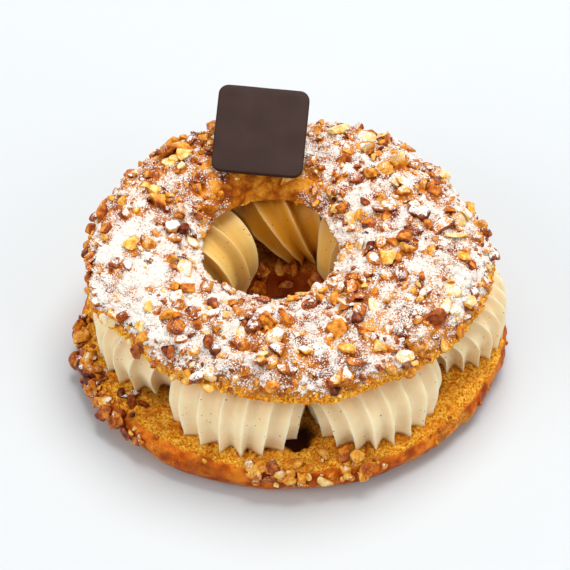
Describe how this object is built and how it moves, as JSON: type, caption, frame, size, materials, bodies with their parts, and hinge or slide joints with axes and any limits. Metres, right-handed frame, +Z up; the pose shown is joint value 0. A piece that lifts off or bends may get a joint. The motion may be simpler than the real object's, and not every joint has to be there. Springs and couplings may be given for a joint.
{
  "type": "paris brest pastry",
  "caption": "Ring of choux pastry cut in two and filled with piped praline cream, topped with chopped nuts, powdered sugar and a plain square chocolate plaque.",
  "frame": {"origin": "middle of the whole outline, on the surface it rests on", "axes": "+Z up through the hole of the ring; +Y towards the chocolate plaque; -Y is the front"},
  "size_m": [0.1108, 0.109, 0.0506],
  "materials": {
    "choux_crust": "rough",
    "choux_crust_top": "rough",
    "praline_cream": "satin",
    "dark_chocolate": "satin"
  },
  "bodies": {
    "root": {"base_crust": "choux_crust", "top_crust": "choux_crust_top", "cream_shell_1": "praline_cream", "cream_shell_2": "praline_cream", "cream_shell_3": "praline_cream", "cream_shell_4": "praline_cream", "cream_shell_5": "praline_cream", "cream_shell_6": "praline_cream", "cream_shell_7": "praline_cream", "chocolate_plaque": "dark_chocolate"}
  },
  "joints": []
}
